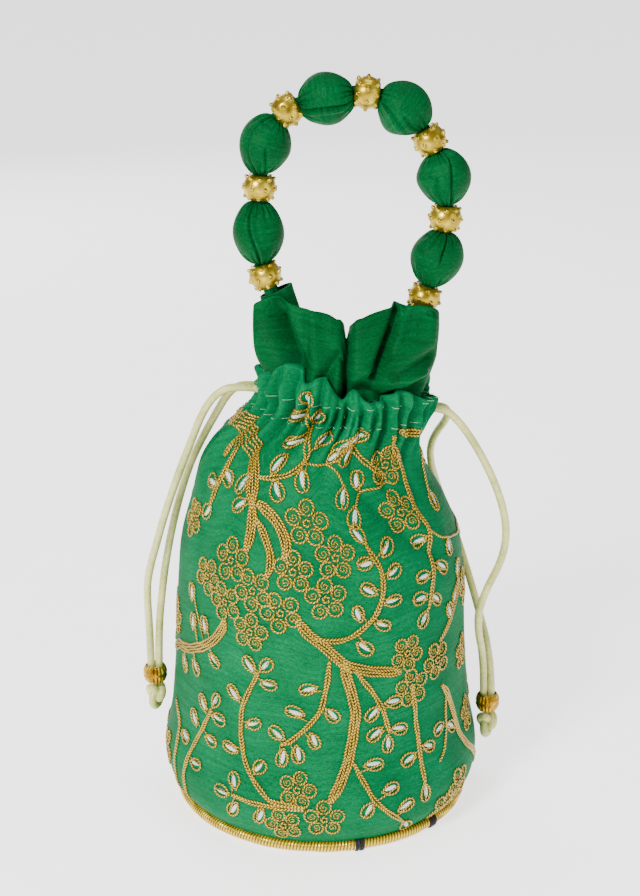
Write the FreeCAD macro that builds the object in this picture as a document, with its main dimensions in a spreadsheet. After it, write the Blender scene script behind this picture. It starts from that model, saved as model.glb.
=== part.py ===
"""Drawstring gift sack: a round-based pouch with a gathered neck and a beaded loop handle.

Frame: millimetres, +Z up, origin at the centre of the base where it rests. X runs from the left cord exit
to the right one, -Y is the front. Each sub-part is one document object; its Label names its STEP file.
"""
import FreeCAD, Part
import math
import os

from FreeCAD import Placement, Rotation, Vector

UP = Vector(0, 0, 1)
FRONT_AXIS = Vector(0, 1, 0)

# ---------------------------------------------------------------- driving sizes, in millimetres and degrees
SIZES = {
    "fabric": 1.0,              # outer silk with its backing
    "lining_cloth": 0.7,
    "layer_gap": 0.6,           # air between two sewn layers
    "base_disc": 59.6,          # radius of the base cover
    "base_cloth": 0.8,
    "board_thickness": 2.4,
    "piping_ring": 62.4,        # radius of the ring that the piping's middle follows
    "piping_radius": 2.3,
    "piping_core": 1.5,
    "piping_lift": 2.6,         # height of the piping's middle
    "tie_cloth": 0.25,
    "tie_sweep": 3.4,           # degrees of the ring that one black tie covers
    "neck_x": 8.5,              # the gathered neck sits a little right of the base's middle
    "neck_height": 174.0,
    "neck_tilt": 4.0,           # its right side is the lower one
    "neck_width": 34.6,         # half-axes of the gathered neck
    "neck_depth": 26.0,
    "casing_half": 6.5,         # half the height of the drawstring casing
    "casing_room": 4.3,         # space for the cord between fabric and lining
    "exit_half_width": 6.8,
    "exit_half_height": 2.0,
    "cord_radius": 1.6,
    "cord_level": 1.8,          # the left cord runs above the casing's middle, the right one below it
    "stitch_row": 4.2,          # each row's distance from the casing's middle
    "stitch_count": 28,
    "stitch_length": 2.8,
    "stitch_clearance": 0.25,
    "stitch_thread": 0.5,
    "ruffle_cloth": 1.2,
    "ruffle_height": 27.0,
    "ruffle_width": 36.6,
    "ruffle_depth": 30.0,
    "notch_width": 13.0,
    "notch_floor": 12.0,        # above the casing's top edge
    "bead_radius": 5.85,
    "bead_half_length": 4.8,
    "bead_wall": 0.85,
    "bead_bore": 2.9,
    "stud_base": 0.95,
    "stud_tip": 0.18,
    "stud_height": 1.35,
    "stud_latitude": 36.0,
    "sleeve_neck": 2.8,
    "sleeve_cloth": 0.7,
    "ball_radius": 10.2,
    "ball_gap": 1.0,            # between a ball's pole and the bead beside it
    "sleeve_lap": 1.6,          # how far the sleeve's neck reaches into a ball
    "filler_gap": 0.2,
    "hinge_clearance": 1.0,     # from the hinge line up to the tab that turns about it
    "tab_half_width": 6.5,
    "tab_half_thickness": 1.0,
    "toggle_radius": 4.7,       # the ribbed bead on each pair of cord tails
    "toggle_half_length": 3.7,
    "toggle_end": 3.85,
    "toggle_bore": 3.35,
    "strand_gap": 1.65,         # half the distance between the two strands in a toggle bead
    "knot_gap": 1.0,
    "knot_radius": 4.4,
    "knot_length": 13.0,
}

# The sack's outline from the piping up to the neck: height, half-width, half-depth and sideways shift.
OUTLINE = [
    (5.3, 62.6, 62.6, 0.0),
    (10.0, 65.4, 65.4, 0.0),
    (18.0, 66.0, 66.0, 0.0),
    (40.0, 62.8, 62.8, 0.0),
    (70.0, 60.6, 60.6, 0.0),
    (98.0, 59.0, 59.0, 0.0),
    (116.0, 57.0, 56.4, -0.4),
    (132.0, 51.8, 49.6, -1.4),
    (148.0, 45.2, 39.6, -3.6),
    (158.0, 40.6, 32.6, -1.6),
]
LINING_FLOOR = 4.9

# Middles of the handle's beads (even places) and stuffed balls (odd places), left end first: X and Z.
HANDLE_STATIONS = [
    (-22.2, 224.4), (-24.8, 241.3), (-24.0, 259.5), (-21.9, 276.8), (-13.1, 289.3),
    (1.8, 293.6), (17.3, 295.9), (31.6, 290.1),
    (41.5, 277.8), (47.5, 263.8), (48.2, 247.4), (45.4, 231.7), (40.6, 215.5),
]
# The two ends of the line that the handle bends about: X and Z.
LEFT_HINGE, RIGHT_HINGE = (-12.5, 210.0), (36.0, 204.0)
# The sewn tab ends run from the hinge line down and outward to the neck.
ANCHOR_DROP = 20.0
ANCHOR_SPREAD = 1.5

# Where each pair of strands comes straight down through its ribbed bead: the middle between the strands.
LEFT_TOGGLE = Vector(-70.4, 0.0, 51.0)
RIGHT_TOGGLE = Vector(70.8, 0.0, 37.5)
STRAIGHT_ABOVE = 17.5
# How a cord leaves the casing: its distances from the neck's middle and from the exit's middle.
EXIT_CURVE = [(30.9, 5.5), (33.2, 2.9), (35.2, 1.75), (36.8, 1.75)]
# The tails start this much further out, so that they can swing on the cord's bend at the exit.
EXIT_BEND = 1.2
# Routes of the four free cord tails from the casing run's end to the straight stretch above the bead.
LEFT_FRONT_ROUTE = [
    (-32.8, -1.75, 178.7), (-38.8, -1.9, 178.2), (-44.4, -2.1, 173.6), (-48.8, -2.3, 166.0),
    (-52.4, -2.5, 156.4), (-56.9, -2.6, 145.4), (-61.0, -2.5, 133.6), (-64.8, -2.5, 122.2),
    (-68.0, -2.4, 110.8), (-70.8, -2.2, 101.2), (-72.8, -2.0, 90.6),
]
LEFT_REAR_ROUTE = [
    (-31.8, 1.75, 178.62), (-35.2, 2.0, 177.0), (-38.8, 2.6, 173.0), (-43.0, 3.4, 165.4),
    (-48.6, 4.2, 155.0), (-53.8, 4.6, 143.8), (-57.6, 4.3, 132.2), (-60.8, 3.8, 120.4),
    (-63.6, 3.4, 107.4), (-66.2, 3.0, 92.0),
]
RIGHT_FRONT_ROUTE = [
    (49.3, -1.75, 169.35), (53.4, -2.2, 166.3), (58.6, -3.0, 160.2), (64.6, -4.2, 150.6),
    (70.2, -5.4, 139.4), (74.2, -6.4, 128.0), (75.9, -7.2, 116.2), (73.6, -8.0, 104.6),
    (67.8, -9.6, 93.6), (64.0, -9.0, 79.5),
]
RIGHT_REAR_ROUTE = [
    (48.8, 1.75, 169.38), (50.8, 2.9, 167.6), (51.4, 5.0, 164.6), (50.2, 8.8, 160.2),
    (47.8, 14.6, 154.4), (45.6, 21.0, 146.6), (45.8, 26.8, 136.6), (49.0, 30.0, 125.4),
    (53.0, 30.0, 114.4), (57.4, 25.4, 104.0), (61.0, 18.6, 93.8), (65.6, 10.0, 80.0),
]

doc = FreeCAD.newDocument("drawstring_gift_sack")
sheet = doc.addObject("Spreadsheet::Sheet", "Sizes")
parts = []


def fill_sheet():
    """Writes every driving size and outline station into the spreadsheet, one alias to a cell."""
    rows = dict(SIZES)
    for number, (height, width, depth, shift) in enumerate(OUTLINE):
        rows[f"outline_height_{number}"] = height
        rows[f"outline_width_{number}"] = width
        rows[f"outline_depth_{number}"] = depth
        rows[f"outline_shift_{number}"] = shift
    for row, (alias, value) in enumerate(rows.items(), start=1):
        sheet.set(f"A{row}", alias)
        sheet.set(f"B{row}", str(value))
        sheet.setAlias(f"B{row}", alias)
    doc.recompute()


def size(alias):
    return float(sheet.get(alias))


def add(kind, name, label=None, place=None, **bound):
    """A document object whose properties are bound to sheet expressions; with a label it is a sub-part."""
    made = doc.addObject(kind, name)
    for prop, expression in bound.items():
        made.setExpression(prop, sheet_names(expression))
    if place is not None:
        made.Placement = place
    if label:
        made.Label = label
        parts.append(made)
    return made


def sheet_names(expression):
    """The expression with each bare size name turned into the sheet's alias."""
    words = expression.replace("(", " ( ").replace(")", " ) ").split()
    return " ".join(f"Sizes.{word}" if word[0].isalpha() else word for word in words)


def combine(kind, name, base, tool, label=None):
    """A Part::Cut or Part::Common of two objects."""
    made = add(kind, name, label)
    made.Base, made.Tool = base, tool
    return made


def finished(name, shape, place=None):
    """A sub-part whose shape Part's own functions made."""
    made = doc.addObject("Part::Feature", name)
    made.Shape = shape
    if place is not None:
        made.Placement = place
    made.Label = name
    parts.append(made)
    return made


def neck_frame():
    """The place of the casing's middle, tilted as the neck is."""
    middle = Vector(size("neck_x"), 0, size("neck_height"))
    return Placement(middle, Rotation(FRONT_AXIS, size("neck_tilt")))


def ellipse(name, place, width, depth):
    return add("Part::Ellipse", name, place=place, MajorRadius=width, MinorRadius=depth)


def loft(name, sections, label=None):
    made = add("Part::Loft", name, label)
    made.Sections = sections
    made.Solid = True
    made.Ruled = False
    return made


# ---------------------------------------------------------------- base
def base():
    """Fabric disc, stiff board, lining disc, and the gold piping with its cord core and two black ties."""
    add("Part::Cylinder", "BaseCover", "base_cover", Radius="base_disc", Height="base_cloth")
    board = add("Part::Cylinder", "BaseBoard", "base_board", Radius="base_disc - layer_gap",
                Height="board_thickness")
    board.Placement.Base = Vector(0, 0, size("base_cloth") + 0.1)
    floor = add("Part::Cylinder", "BaseLining", "base_lining", Radius="base_disc", Height="lining_cloth")
    floor.Placement.Base = Vector(0, 0, size("base_cloth") + size("board_thickness") + 0.2)
    lift = Placement(Vector(0, 0, size("piping_lift")), Rotation())
    outer = add("Part::Torus", "PipingOuter", place=lift, Radius1="piping_ring", Radius2="piping_radius")
    hollow = add("Part::Torus", "PipingHollow", place=lift, Radius1="piping_ring",
                 Radius2="piping_core + 0.1")
    combine("Part::Cut", "PipingBraid", outer, hollow, "base_piping_braid")
    add("Part::Torus", "PipingCore", "base_piping_core", lift, Radius1="piping_ring",
        Radius2="piping_core")
    bands = []
    for number, heading in enumerate((-77.0, -43.0)):
        turned = Placement(lift.Base, Rotation(UP, heading))
        band = add("Part::Torus", f"TieOuter{number}", place=turned, Radius1="piping_ring",
                   Radius2="piping_radius + tie_cloth", Angle3="tie_sweep")
        inside = add("Part::Torus", f"TieInner{number}", place=turned, Radius1="piping_ring",
                     Radius2="piping_radius + 0.02", Angle3="tie_sweep")
        bands.append(combine("Part::Cut", f"Tie{number}", band, inside))
    both = add("Part::Compound", "PipingTies", "piping_ties")
    both.Links = bands


# ---------------------------------------------------------------- fabric shells
def wall_solid(name, inset, neck_inset, foot=None):
    """One side of a wall as a solid, inset from the sack's outline.

    Five equal rings keep the casing straight.
    """
    rings = []
    for number, (height, _, _, shift) in enumerate(OUTLINE):
        if number == 0 and foot is not None:
            height = foot
        rings.append(ellipse(f"{name}{number}", Placement(Vector(shift, 0, height), Rotation()),
                             f"outline_width_{number} - {inset}", f"outline_depth_{number} - {inset}"))
    for number, share in enumerate((-1, -0.8, 0, 0.8, 1)):
        place = neck_frame().multiply(Placement(Vector(0, 0, share * size("casing_half")), Rotation()))
        rings.append(ellipse(f"{name}Casing{number}", place, f"neck_width - {neck_inset}",
                             f"neck_depth - {neck_inset}"))
    return loft(name, rings)


def outer_shell():
    """The embroidered outer fabric, open at the top, with the two side holes where the cords come out."""
    outside = wall_solid("ShellOutside", "0", "0")
    inside = wall_solid("ShellInside", "fabric", "fabric")
    wall = combine("Part::Cut", "ShellWall", outside, inside)
    for number, side in enumerate((-1, 1)):
        slot = add("Part::Box", f"ExitSlot{number}", Length="4 * casing_room", Width="2 * exit_half_width",
                   Height="2 * exit_half_height")
        corner = Vector(size("neck_width") - 2 * size("casing_room"), -size("exit_half_width"),
                        -side * size("cord_level") - size("exit_half_height"))
        turn = Placement(Vector(), Rotation(UP, 0 if side > 0 else 180))
        slot.Placement = neck_frame().multiply(turn).multiply(Placement(corner, Rotation()))
        wall = combine("Part::Cut", f"ShellSlotted{number}", wall, slot)
    wall.Label = "outer_shell"
    parts.append(wall)


def lining():
    """The inner bag: it follows the outer fabric and stands clear of it round the cords."""
    deep, shallow = "( fabric + layer_gap + lining_cloth )", "( fabric + layer_gap )"
    outside = wall_solid("LiningOutside", shallow, "( fabric + casing_room )", LINING_FLOOR)
    inside = wall_solid("LiningInside", deep, "( fabric + casing_room + lining_cloth )", LINING_FLOOR)
    combine("Part::Cut", "Lining", outside, inside, "lining")


def ruffle():
    """The dark heading above the casing: a flared band, notched at the front and back between two ears."""
    levels = ((0.15, "neck_width - 0.4", "neck_depth - 0.4"),
              (12.0, "ruffle_width - 1", "ruffle_depth - 1.5"),
              (size("ruffle_height") + 3, "ruffle_width", "ruffle_depth"))
    lofts = []
    for side, inset in (("Outside", "0"), ("Inside", "ruffle_cloth")):
        rings = []
        for number, (level, width, depth) in enumerate(levels):
            shift = Placement(Vector(0, 0, size("casing_half") + level), Rotation())
            rings.append(ellipse(f"Ruffle{side}{number}", neck_frame().multiply(shift),
                                 f"{width} - {inset}", f"{depth} - {inset}"))
        lofts.append(loft(f"Ruffle{side}Loft", rings))
    band = combine("Part::Cut", "RuffleBand", *lofts)
    notch = add("Part::Wedge", "RuffleNotch")
    half, tall, deep = size("notch_width"), size("ruffle_height"), 2 * size("ruffle_depth")
    notch.Xmin, notch.Xmax, notch.X2min, notch.X2max = -0.5, 0.5, -half, half
    notch.Zmin, notch.Zmax, notch.Z2min, notch.Z2max = -deep, deep, -deep, deep
    notch.Ymin, notch.Ymax = 0, tall
    foot = Vector(0, 0, size("casing_half") + size("notch_floor"))
    lift = Placement(foot, Rotation(Vector(1, 0, 0), 90))
    notch.Placement = neck_frame().multiply(lift)
    combine("Part::Cut", "Ruffle", band, notch, "top_ruffle")


def casing_stitches():
    """Two rows of short stitches, above and below the drawcords, round the whole neck."""
    length, thread, clear = size("stitch_length"), size("stitch_thread"), size("stitch_clearance")
    width, depth = size("neck_width") + clear, size("neck_depth") + clear
    stitches = []
    for level in (-size("stitch_row"), size("stitch_row")):
        for number in range(int(size("stitch_count"))):
            angle = 2 * math.pi * (number + 0.5) / size("stitch_count")
            spot = Vector(width * math.cos(angle), depth * math.sin(angle), level)
            out = Vector(depth * math.cos(angle), width * math.sin(angle), 0)
            stitch = Part.makeBox(thread, length, thread, Vector(0, -length / 2, -thread / 2))
            local = Placement(spot, Rotation(Vector(1, 0, 0), out))
            stitch.Placement = neck_frame().multiply(local)
            stitches.append(stitch)
    finished("casing_stitches", Part.makeCompound(stitches))


# ---------------------------------------------------------------- cords
def rounded_path(points, share=0.45):
    """Straight runs joined by tangent arcs as large as the runs allow. Returns the edges and radii."""
    points = [Vector(*point) for point in points]
    edges, radii, start = [], [], points[0]
    for before, corner, after in zip(points, points[1:], points[2:]):
        back, ahead = (before - corner), (after - corner)
        reach = share * min(back.Length, ahead.Length)
        back.normalize()
        ahead.normalize()
        half_turn = (math.pi - back.getAngle(ahead)) / 2
        radius = reach / math.tan(half_turn)
        enter, leave = corner + back * reach, corner + ahead * reach
        inward = (back + ahead).normalize()
        middle = corner + inward * (radius / math.cos(half_turn) - radius)
        edges.append(Part.LineSegment(start, enter).toShape())
        edges.append(Part.Arc(enter, middle, leave).toShape())
        radii.append(radius)
        start = leave
    edges.append(Part.LineSegment(start, points[-1]).toShape())
    return edges, radii


def tube(name, points):
    """A cord along a route, as a swept sub-part."""
    edges, radii = rounded_path(points)
    wire = Part.Wire(edges)
    spine = doc.addObject("Part::Feature", name + "Spine")
    spine.Shape = wire
    along = Vector(*points[1]) - Vector(*points[0])
    ring = add("Part::Circle", name + "Ring", place=Placement(Vector(*points[0]), Rotation(UP, along)),
               Radius="cord_radius")
    swept = add("Part::Sweep", name + "Sweep", name)
    swept.Sections = [ring]
    swept.Spine = (spine, [f"Edge{number + 1}" for number in range(len(wire.Edges))])
    swept.Solid = True
    swept.Frenet = False
    doc.recompute()
    expected = math.pi * size("cord_radius") ** 2 * wire.Length
    print(f"{name}: length {wire.Length:.1f}, smallest radius {min(radii):.1f}, "
          f"volume ratio {swept.Shape.Volume / expected:.4f}")


def exit_points(side, across):
    """The curve that a cord takes out of the casing, at the front (across -1) or the rear (across 1)."""
    level = -side * size("cord_level")
    return [neck_frame().multVec(Vector(side * out, across * off, level)) for out, off in EXIT_CURVE]


def casing_run(name, side):
    """A cord's hidden stretch: once round the neck inside the casing, from its exit back to its exit."""
    inset = size("fabric") + size("casing_room") / 2
    width, depth = size("neck_width") - inset, size("neck_depth") - inset
    frame, around, first, last, steps = neck_frame(), [], 24.0, 336.0, 26
    for step in range(steps + 1):
        angle = math.radians(first + (last - first) * step / steps)
        local = Vector(side * width * math.cos(angle), depth * math.sin(angle), -side * size("cord_level"))
        around.append(frame.multVec(local))
    route = exit_points(side, 1)[::-1] + around + exit_points(side, -1)
    tube(name, [tuple(point) for point in route])


def tail(name, side, across, route, toggle):
    """A free tail: from the casing run's end by its route, then straight down through the bead."""
    out, off = EXIT_CURVE[-1]
    local = Vector(side * (out + EXIT_BEND), across * off, -side * size("cord_level"))
    start = tuple(neck_frame().multVec(local))
    through = toggle + Vector(across * size("strand_gap"), 0, 0)
    end = size("toggle_half_length") + size("knot_gap")
    tube(name, [start] + route + [tuple(through + UP * STRAIGHT_ABOVE), tuple(through - UP * end)])


def cords():
    casing_run("left_cord_run", -1)
    casing_run("right_cord_run", 1)
    tail("left_tail_front", -1, -1, LEFT_FRONT_ROUTE, LEFT_TOGGLE)
    tail("left_tail_rear", -1, 1, LEFT_REAR_ROUTE, LEFT_TOGGLE)
    tail("right_tail_front", 1, -1, RIGHT_FRONT_ROUTE, RIGHT_TOGGLE)
    tail("right_tail_rear", 1, 1, RIGHT_REAR_ROUTE, RIGHT_TOGGLE)
    for side, toggle in (("left", LEFT_TOGGLE), ("right", RIGHT_TOGGLE)):
        toggle_bead(side, toggle)
        knot(side, toggle)


def toggle_bead(side, middle):
    """A double cone with a bore for both strands."""
    title = side.title()
    halves = []
    for number, turn in enumerate((0, 180)):
        place = Placement(middle, Rotation(Vector(1, 0, 0), turn))
        halves.append(add("Part::Cone", f"{title}Toggle{number}", place=place, Radius1="toggle_radius",
                          Radius2="toggle_end", Height="toggle_half_length"))
    solid = add("Part::Fuse", f"{title}ToggleSolid")
    solid.Base, solid.Tool = halves
    bore = add("Part::Cylinder", f"{title}ToggleBore", Radius="toggle_bore",
               Height="4 * toggle_half_length")
    bore.Placement.Base = middle - UP * 2 * size("toggle_half_length")
    combine("Part::Cut", f"{title}ToggleBead", solid, bore, f"{side}_drawstring_bead")


def knot(side, middle):
    """The knotted end below the bead, as two blended lobes."""
    radius, title = size("knot_radius"), side.title()
    top = middle - UP * (size("toggle_half_length") + size("knot_gap"))
    neck = add("Part::Cylinder", f"{title}KnotNeck", Radius="2 * cord_radius", Height="knot_radius")
    neck.Placement.Base = top - UP * radius
    lobes = [neck]
    for number, drop in enumerate((radius, size("knot_length") - radius)):
        lobe = add("Part::Sphere", f"{title}Knot{number}", Radius="knot_radius - 0.1")
        lobe.Placement.Base = top - UP * (drop + 0.1)
        lobes.append(lobe)
    both = add("Part::MultiFuse", f"{title}Knot", f"{side}_end_knot")
    both.Shapes = lobes


# ---------------------------------------------------------------- handle
def hinge_points():
    return [Vector(x, 0, z) for x, z in (LEFT_HINGE, RIGHT_HINGE)]


def handle_line():
    """Each station's middle and the direction of the handle there, hinge points at both ends."""
    left, right = hinge_points()
    line = [left] + [Vector(x, 0, z) for x, z in HANDLE_STATIONS] + [right]
    return [(line[i], (line[i + 1] - line[i - 1]).normalize()) for i in range(1, len(line) - 1)]


def studded_bead():
    """A hollow ball with flat ends, a bore and three staggered rings of pointed studs; its axis is Z."""
    radius, half, bore = size("bead_radius"), size("bead_half_length"), size("bead_bore")
    slab = Part.makeCylinder(radius + 1, 2 * half, Vector(0, 0, -half))
    ball = Part.makeSphere(radius).common(slab)
    stud = Part.makeCone(size("stud_base"), size("stud_tip"), size("stud_height"))
    root, studs = radius - 0.3, []
    for ring, latitude in enumerate((-size("stud_latitude"), 0, size("stud_latitude"))):
        for number in range(8):
            heading, rise = math.radians(45 * number + 22.5 * (ring % 2)), math.radians(latitude)
            level = math.cos(rise)
            out = Vector(math.cos(heading) * level, math.sin(heading) * level, math.sin(rise))
            placed = stud.copy()
            placed.Placement = Placement(out * root, Rotation(UP, out))
            studs.append(placed)
    hollow = Part.makeSphere(radius - size("bead_wall"))
    hole = Part.makeCylinder(bore, 2 * radius, Vector(0, 0, -radius))
    return ball.fuse(studs).cut(hollow).cut(hole).removeSplitter()


def ball_profile(radius, half):
    """An ellipsoid of revolution about Z."""
    ball = Part.makeSphere(1.0)
    stretch = FreeCAD.Matrix()
    stretch.scale(radius, radius, half)
    return ball.transformGeometry(stretch)


def along(middle, direction):
    return Placement(middle, Rotation(UP, direction))


def handle():
    """Seven studded beads over one fabric sleeve with six stuffed balls, and the sleeve's sewn ends."""
    line = handle_line()
    bead, cloth = studded_bead(), size("sleeve_cloth")
    bead_half = size("bead_half_length")
    skins, hollows = [], []
    for number, (middle, direction) in enumerate(line):
        if number % 2 == 0:
            finished(f"handle_bead_{number // 2 + 1}", bead.copy(), along(middle, direction))
            reach = bead_half + size("ball_gap") + size("sleeve_lap")
            pin = Part.makeCylinder(size("sleeve_neck"), 2 * reach, Vector(0, 0, -reach))
            bore = size("sleeve_neck") - 2 * cloth
            hole = Part.makeCylinder(bore, 2 * reach + 2, Vector(0, 0, -reach - 1))
            for store, shape in ((skins, pin), (hollows, hole)):
                shape.Placement = along(middle, direction)
                store.append(shape)
            continue
        before, after = (middle - line[number - 1][0]).Length, (line[number + 1][0] - middle).Length
        middle = middle + direction * (after - before) / 2
        half = (before + after) / 2 - bead_half - size("ball_gap")
        radius = size("ball_radius")
        for store, inset in ((skins, 0), (hollows, cloth)):
            shape = ball_profile(radius - inset, half - inset)
            store.append(placed_copy(shape, along(middle, direction)))
        inset = cloth + size("filler_gap")
        filler = ball_profile(radius - inset, half - inset)
        finished(f"handle_filler_{number // 2 + 1}", placed_copy(filler, along(middle, direction)))
    sleeve = skins[0].fuse(skins[1:]).cut(hollows[0].fuse(hollows[1:]))
    finished("handle_sleeve", sleeve)
    ends = zip(("left", "right"), hinge_points(), (line[0], line[-1]), (-1, 1))
    for side, hinge, (middle, direction), sign in ends:
        handle_end(side, hinge, middle, direction * sign, sign)


def placed_copy(shape, place):
    """The shape moved for good, so that it carries no placement of its own."""
    return shape.transformGeometry(place.toMatrix())


def handle_end(side, hinge, bead, outward, sign):
    """The flattened sleeve end from the last bead to the hinge line, and its sewn part below that line."""
    title, clear = side.title(), size("hinge_clearance")
    left, right = hinge_points()
    level = Rotation(Vector(1, 0, 0), right - left)
    start = bead + outward * (size("bead_half_length") + size("ball_gap") + size("sleeve_lap") + 0.1)
    top = ellipse(f"{title}TabTop", Placement(start, Rotation(UP, outward * -1)), "sleeve_neck",
                  "sleeve_neck - 0.1")
    low = ellipse(f"{title}TabLow", Placement(hinge + UP * clear, level), "tab_half_width",
                  "tab_half_thickness")
    loft(f"{title}Tab", [top, low], f"{side}_handle_tab")
    high = ellipse(f"{title}AnchorTop", Placement(hinge - UP * 1.8 * clear, level), "tab_half_width",
                   "tab_half_thickness")
    foot = hinge + Vector(sign * ANCHOR_SPREAD, 0, -ANCHOR_DROP)
    base_end = ellipse(f"{title}AnchorFoot", Placement(foot, level), "tab_half_width / 2",
                       "tab_half_thickness")
    loft(f"{title}Anchor", [base_end, high], f"{side}_tab_anchor")


# ---------------------------------------------------------------- build and export
def export():
    doc.recompute()
    failed = [made.Name for made in doc.Objects if {"Invalid", "Error"} & set(made.State)]
    if failed:
        raise SystemExit(f"objects failed: {failed}")
    os.makedirs("parts", exist_ok=True)
    for made in parts:
        shape = made.Shape
        if shape.isNull() or not shape.isValid() or not shape.Solids:
            raise SystemExit(f"{made.Label} is not a valid solid")
        shape.exportStep(os.path.join("parts", made.Label + ".step"))
        print(f"{made.Label}: {len(shape.Solids)} solid(s), {shape.Volume:.1f} mm3")


fill_sheet()
base()
outer_shell()
lining()
ruffle()
casing_stitches()
cords()
handle()
export()
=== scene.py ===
"""The looks of the drawstring gift sack.

A pleated silk wall with couched gold embroidery, a dark ruffled heading, satin drawcords with ribbed
beads and knots, and an arch of stuffed fabric balls and studded gold beads. The frame is the CAD's: +Z
up, -Y the front.
"""
import math
import random

import bpy
import numpy as np
from mathutils import Matrix, Vector


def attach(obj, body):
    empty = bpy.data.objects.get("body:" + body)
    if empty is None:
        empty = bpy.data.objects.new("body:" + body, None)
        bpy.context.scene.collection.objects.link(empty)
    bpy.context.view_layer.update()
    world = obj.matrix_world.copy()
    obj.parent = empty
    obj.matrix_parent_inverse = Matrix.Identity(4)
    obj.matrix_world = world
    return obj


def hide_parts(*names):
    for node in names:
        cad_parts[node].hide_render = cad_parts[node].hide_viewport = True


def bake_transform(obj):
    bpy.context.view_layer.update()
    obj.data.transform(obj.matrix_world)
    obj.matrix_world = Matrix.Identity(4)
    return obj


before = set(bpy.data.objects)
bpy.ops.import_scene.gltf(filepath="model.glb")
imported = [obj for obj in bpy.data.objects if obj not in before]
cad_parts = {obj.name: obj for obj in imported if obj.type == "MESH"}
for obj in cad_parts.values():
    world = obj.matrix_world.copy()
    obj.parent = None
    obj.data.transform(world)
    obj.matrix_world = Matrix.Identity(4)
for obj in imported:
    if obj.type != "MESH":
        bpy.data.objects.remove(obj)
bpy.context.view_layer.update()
MM = 0.001
CAMERA_PLACE, CAMERA_AIM, LENS = (-0.0006, -0.733, 0.418), (-0.0006, 0.0, 0.152), 77.14
MIDDLE = (0.0, 0.0, 0.15)       # of the object, where the lights aim


# ---- camera and lights
def aim(thing, target):
    thing.rotation_euler = (Vector(target) - thing.location).to_track_quat("-Z", "Y").to_euler()


def make_camera():
    data = bpy.data.cameras.new("camera")
    data.lens = LENS
    camera = bpy.data.objects.new("camera", data)
    camera.location = CAMERA_PLACE
    aim(camera, CAMERA_AIM)
    bpy.context.collection.objects.link(camera)
    bpy.context.scene.camera = camera


def make_light(name, location, target, side, power):
    data = bpy.data.lights.new(name, "AREA")
    data.shape, data.size, data.energy = "DISK", side, power
    lamp = bpy.data.objects.new(name, data)
    lamp.location = location
    aim(lamp, target)
    bpy.context.collection.objects.link(lamp)


make_camera()
make_light("key", (-0.55, -0.85, 0.85), MIDDLE, 0.30, 20.0)
make_light("fill", (0.9, -0.7, 0.45), MIDDLE, 0.8, 3.0)
make_light("top", (0.1, 0.15, 1.3), MIDDLE, 0.6, 6.0)
make_light("back", (-0.4, 1.1, 0.6), MIDDLE, 0.8, 6.0)
world = bpy.data.worlds.new("studio")
world.use_nodes = True
world.node_tree.nodes["Background"].inputs["Color"].default_value = (1.0, 1.0, 1.0, 1.0)
world.node_tree.nodes["Background"].inputs["Strength"].default_value = 0.38
bpy.context.scene.world = world


# ---- mesh helpers
class Bundle:
    """Vertices (mm), quads and their corner UVs (mm), gathered into one piece."""

    def __init__(self):
        self.verts, self.faces, self.uvs, self.count = [], [], [], 0

    def grid(self, points, u, v, closed_u=True, closed_v=False, flip=False):
        """Add a grid of points (n, m, 3). u and v are corner coordinates, one more where it is closed."""
        n, m = points.shape[:2]
        rows, cols = n if closed_u else n - 1, m if closed_v else m - 1
        i, j = np.meshgrid(np.arange(rows), np.arange(cols), indexing="ij")
        near, far = i % n, (i + 1) % n
        low, high = j % m, (j + 1) % m
        corners = [(near, low, i, j), (far, low, i + 1, j),
                   (far, high, i + 1, j + 1), (near, high, i, j + 1)]
        if flip:
            corners.reverse()
        u, v = np.asarray(u, float), np.asarray(v, float)
        quads = np.stack([(a * m + b).ravel() for a, b, _, _ in corners], 1)
        where = np.stack([np.stack([u[c], v[d]], -1).reshape(-1, 2) for _, _, c, d in corners], 1)
        self.verts.append(points.reshape(-1, 3))
        self.faces.append(quads + self.count)
        self.uvs.append(where)
        self.count += n * m

    def piece(self, name, *materials):
        mesh = bpy.data.meshes.new(name)
        verts, faces = np.concatenate(self.verts) * MM, np.concatenate(self.faces)
        mesh.from_pydata(verts.tolist(), [], faces.tolist())
        layer = mesh.uv_layers.new(name="cloth")
        layer.data.foreach_set("uv", np.concatenate(self.uvs).astype(np.float32).ravel())
        for material in materials:
            mesh.materials.append(material)
        mesh.shade_smooth()
        made = bpy.data.objects.new(name, mesh)
        bpy.context.collection.objects.link(made)
        return made


def smooth_line(points, step):
    """Points about one step apart on the Catmull-Rom line through the given ones."""
    p = np.asarray(points, float)
    p = np.vstack([2 * p[0] - p[1], p, 2 * p[-1] - p[-2]])
    line = []
    for a, b, c, d in zip(p, p[1:], p[2:], p[3:]):
        count = max(2, int(round(np.linalg.norm(c - b) / step)))
        t = np.arange(count)[:, None] / count
        line.append(0.5 * (2 * b + (c - a) * t + (2 * a - 5 * b + 4 * c - d) * t ** 2
                           + (3 * b - a - 3 * c + d) * t ** 3))
    return np.vstack(line + [p[-2][None]])


def unit(v):
    return v / np.maximum(np.linalg.norm(v, axis=-1, keepdims=True), 1e-9)


def round_turn(count, start=0.0):
    """Headings (radians) that share a full turn equally."""
    return np.linspace(start, start + 2 * math.pi, count, endpoint=False)


def circle(turn):
    return np.stack([np.cos(turn), np.sin(turn)], 1)


def spun(turn, radius, height):
    """Points round Z, by heading and by level."""
    return np.stack([radius * np.cos(turn)[:, None], radius * np.sin(turn)[:, None],
                     np.broadcast_to(height, radius.shape)], -1)


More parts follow.
